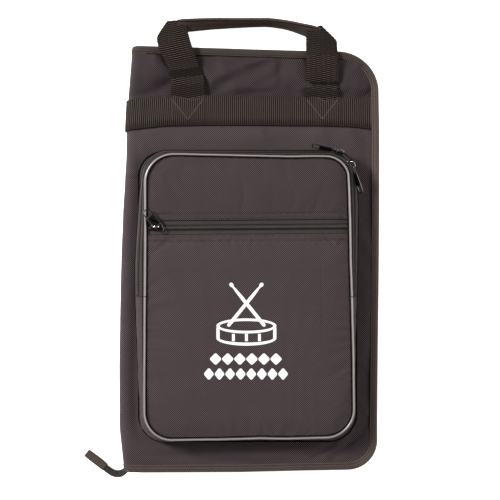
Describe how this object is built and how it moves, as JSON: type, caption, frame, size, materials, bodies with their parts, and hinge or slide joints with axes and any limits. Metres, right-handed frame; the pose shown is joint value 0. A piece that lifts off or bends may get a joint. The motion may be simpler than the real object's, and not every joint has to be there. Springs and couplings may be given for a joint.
{
  "type": "drum stick bag",
  "caption": "Flat padded drum stick bag that folds open like a book, with webbing handles, a zipped edge, inner stick sleeves and a zipped front accessory pocket.",
  "frame": {"origin": "middle of the back panel's outer face, on the surface that the shut bag lies on", "axes": "+X from the folding spine to the zipped edge, +Y towards the carry handles, +Z out of the front pocket"},
  "size_m": [0.3351, 0.5166, 0.0703],
  "materials": {
    "pack_cloth": "woven nylon pack cloth, fine diagonal weave, slight sheen",
    "webbing": "ribbed flat webbing, matt",
    "binding": "folded grosgrain edge tape, soft satin",
    "zip_tape": "close woven zip tape, matt",
    "zip_teeth": "coil teeth, semi matt",
    "piping": "light grey glossy vinyl piping",
    "lining": "plain black lining cloth",
    "foam": "closed-cell foam padding",
    "slider_metal": "black plated die-cast metal, glossy"
  },
  "bodies": {
    "back_half": {"back_outer_fabric": "pack_cloth", "back_foam_pad": "foam", "back_lining": "lining", "back_edge_binding": "binding", "back_webbing_band": "webbing", "main_zip_tape_back": "zip_tape", "main_zip_teeth_back": "zip_teeth", "stick_sleeve_panel": "lining", "stick_sleeve_gussets": "lining", "stick_sleeve_top_binding": "binding"},
    "spine": {"spine_outer_fabric": "pack_cloth", "spine_foam_strip": "foam", "spine_lining": "lining", "spine_webbing_band": "webbing", "zip_tail_tapes": "zip_tape", "zip_tail_tab": "pack_cloth"},
    "front_half": {"front_outer_fabric": "pack_cloth", "front_foam_pad": "foam", "front_lining": "lining", "front_edge_binding": "binding", "front_webbing_band": "webbing", "main_zip_tape_front": "zip_tape", "main_zip_teeth_front": "zip_teeth", "inner_pocket_panel": "lining", "inner_pocket_seams": "lining", "inner_pocket_top_binding": "binding", "pocket_gusset": "pack_cloth", "pocket_zip_tape_gusset": "zip_tape", "pocket_zip_teeth_gusset": "zip_teeth", "pocket_lower_panel": "pack_cloth", "pocket_piping_lower": "piping"},
    "pocket_flap": {"flap_lower_panel": "pack_cloth", "flap_upper_panel": "pack_cloth", "flap_lining": "lining", "flat_zip_tape_lower": "zip_tape", "flat_zip_tape_upper": "zip_tape", "flat_zip_teeth_lower": "zip_teeth", "flat_zip_teeth_upper": "zip_teeth", "pocket_zip_tape_flap": "zip_tape", "pocket_zip_teeth_flap": "zip_teeth", "pocket_piping_flap": "piping"},
    "front_handle": {"front_handle": "webbing"},
    "rear_handle": {"rear_handle": "webbing"},
    "main_upper_slider": {"main_upper_slider": "slider_metal"},
    "main_upper_pull": {"main_upper_pull": "slider_metal"},
    "main_lower_slider": {"main_lower_slider": "slider_metal"},
    "main_lower_pull": {"main_lower_pull": "slider_metal"},
    "pocket_top_slider": {"pocket_top_slider": "slider_metal"},
    "pocket_top_pull": {"pocket_top_pull": "slider_metal"},
    "pocket_side_slider": {"pocket_side_slider": "slider_metal"},
    "pocket_side_pull": {"pocket_side_pull": "slider_metal"},
    "flat_slider": {"flat_slider": "slider_metal"},
    "flat_pull": {"flat_pull": "slider_metal"}
  },
  "joints": [
    {"name": "spine_fold", "type": "hinge", "parent": "back_half", "child": "spine", "pos_m": [-0.143, 0, 0], "axis": [0, -1, 0], "range_deg": [0, 90]},
    {"name": "cover_fold", "type": "hinge", "parent": "spine", "child": "front_half", "pos_m": [-0.143, 0, 0.036], "axis": [0, -1, 0], "range_deg": [0, 90]},
    {"name": "flap_fold", "type": "hinge", "parent": "front_half", "child": "pocket_flap", "pos_m": [0, -0.041, 0.0677], "axis": [1, 0, 0], "range_deg": [0, 150]},
    {"name": "front_handle_lift", "type": "hinge", "parent": "front_half", "child": "front_handle", "pos_m": [0, 0.18565, 0.03805], "axis": [1, 0, 0], "range_deg": [0, 140]},
    {"name": "rear_handle_lift", "type": "hinge", "parent": "back_half", "child": "rear_handle", "pos_m": [0, 0.18565, 0], "axis": [-1, 0, 0], "range_deg": [0, 140]},
    {"name": "main_upper_slide", "type": "slide", "parent": "back_half", "child": "main_upper_slider", "axis": [0, 1, 0], "range_m": [0, 0.088]},
    {"name": "main_lower_slide", "type": "slide", "parent": "back_half", "child": "main_lower_slider", "axis": [0, -1, 0], "range_m": [0, 0.275]},
    {"name": "pocket_top_slide", "type": "slide", "parent": "front_half", "child": "pocket_top_slider", "axis": [-1, 0, 0], "range_m": [0, 0.19]},
    {"name": "pocket_side_slide", "type": "slide", "parent": "front_half", "child": "pocket_side_slider", "axis": [0, -1, 0], "range_m": [0, 0.135]},
    {"name": "flat_slide", "type": "slide", "parent": "pocket_flap", "child": "flat_slider", "axis": [1, 0, 0], "range_m": [0, 0.205]},
    {"name": "main_upper_pull_swing", "type": "hinge", "parent": "main_upper_slider", "child": "main_upper_pull", "pos_m": [0.1455, 0.097, 0.018], "axis": [0, 0, -1], "range_deg": [0, 150]},
    {"name": "main_lower_pull_swing", "type": "hinge", "parent": "main_lower_slider", "child": "main_lower_pull", "pos_m": [0.1455, 0.081, 0.018], "axis": [0, 0, 1], "range_deg": [0, 150]},
    {"name": "pocket_top_pull_swing", "type": "hinge", "parent": "pocket_top_slider", "child": "pocket_top_pull", "pos_m": [0.0995, 0.126, 0.0534], "axis": [0, 0, -1], "range_deg": [0, 145]},
    {"name": "pocket_side_pull_swing", "type": "hinge", "parent": "pocket_side_slider", "child": "pocket_side_pull", "pos_m": [0.125, 0.103, 0.0534], "axis": [0, 0, 1], "range_deg": [0, 130]},
    {"name": "flat_pull_swing", "type": "hinge", "parent": "flat_slider", "child": "flat_pull", "pos_m": [-0.104, 0.038, 0.0681], "axis": [0.7511, 0.6601, 0], "range_deg": [0, 150]}
  ],
  "couplings": [
    {"joint": "cover_fold", "follows": "spine_fold", "ratio": 1}
  ]
}
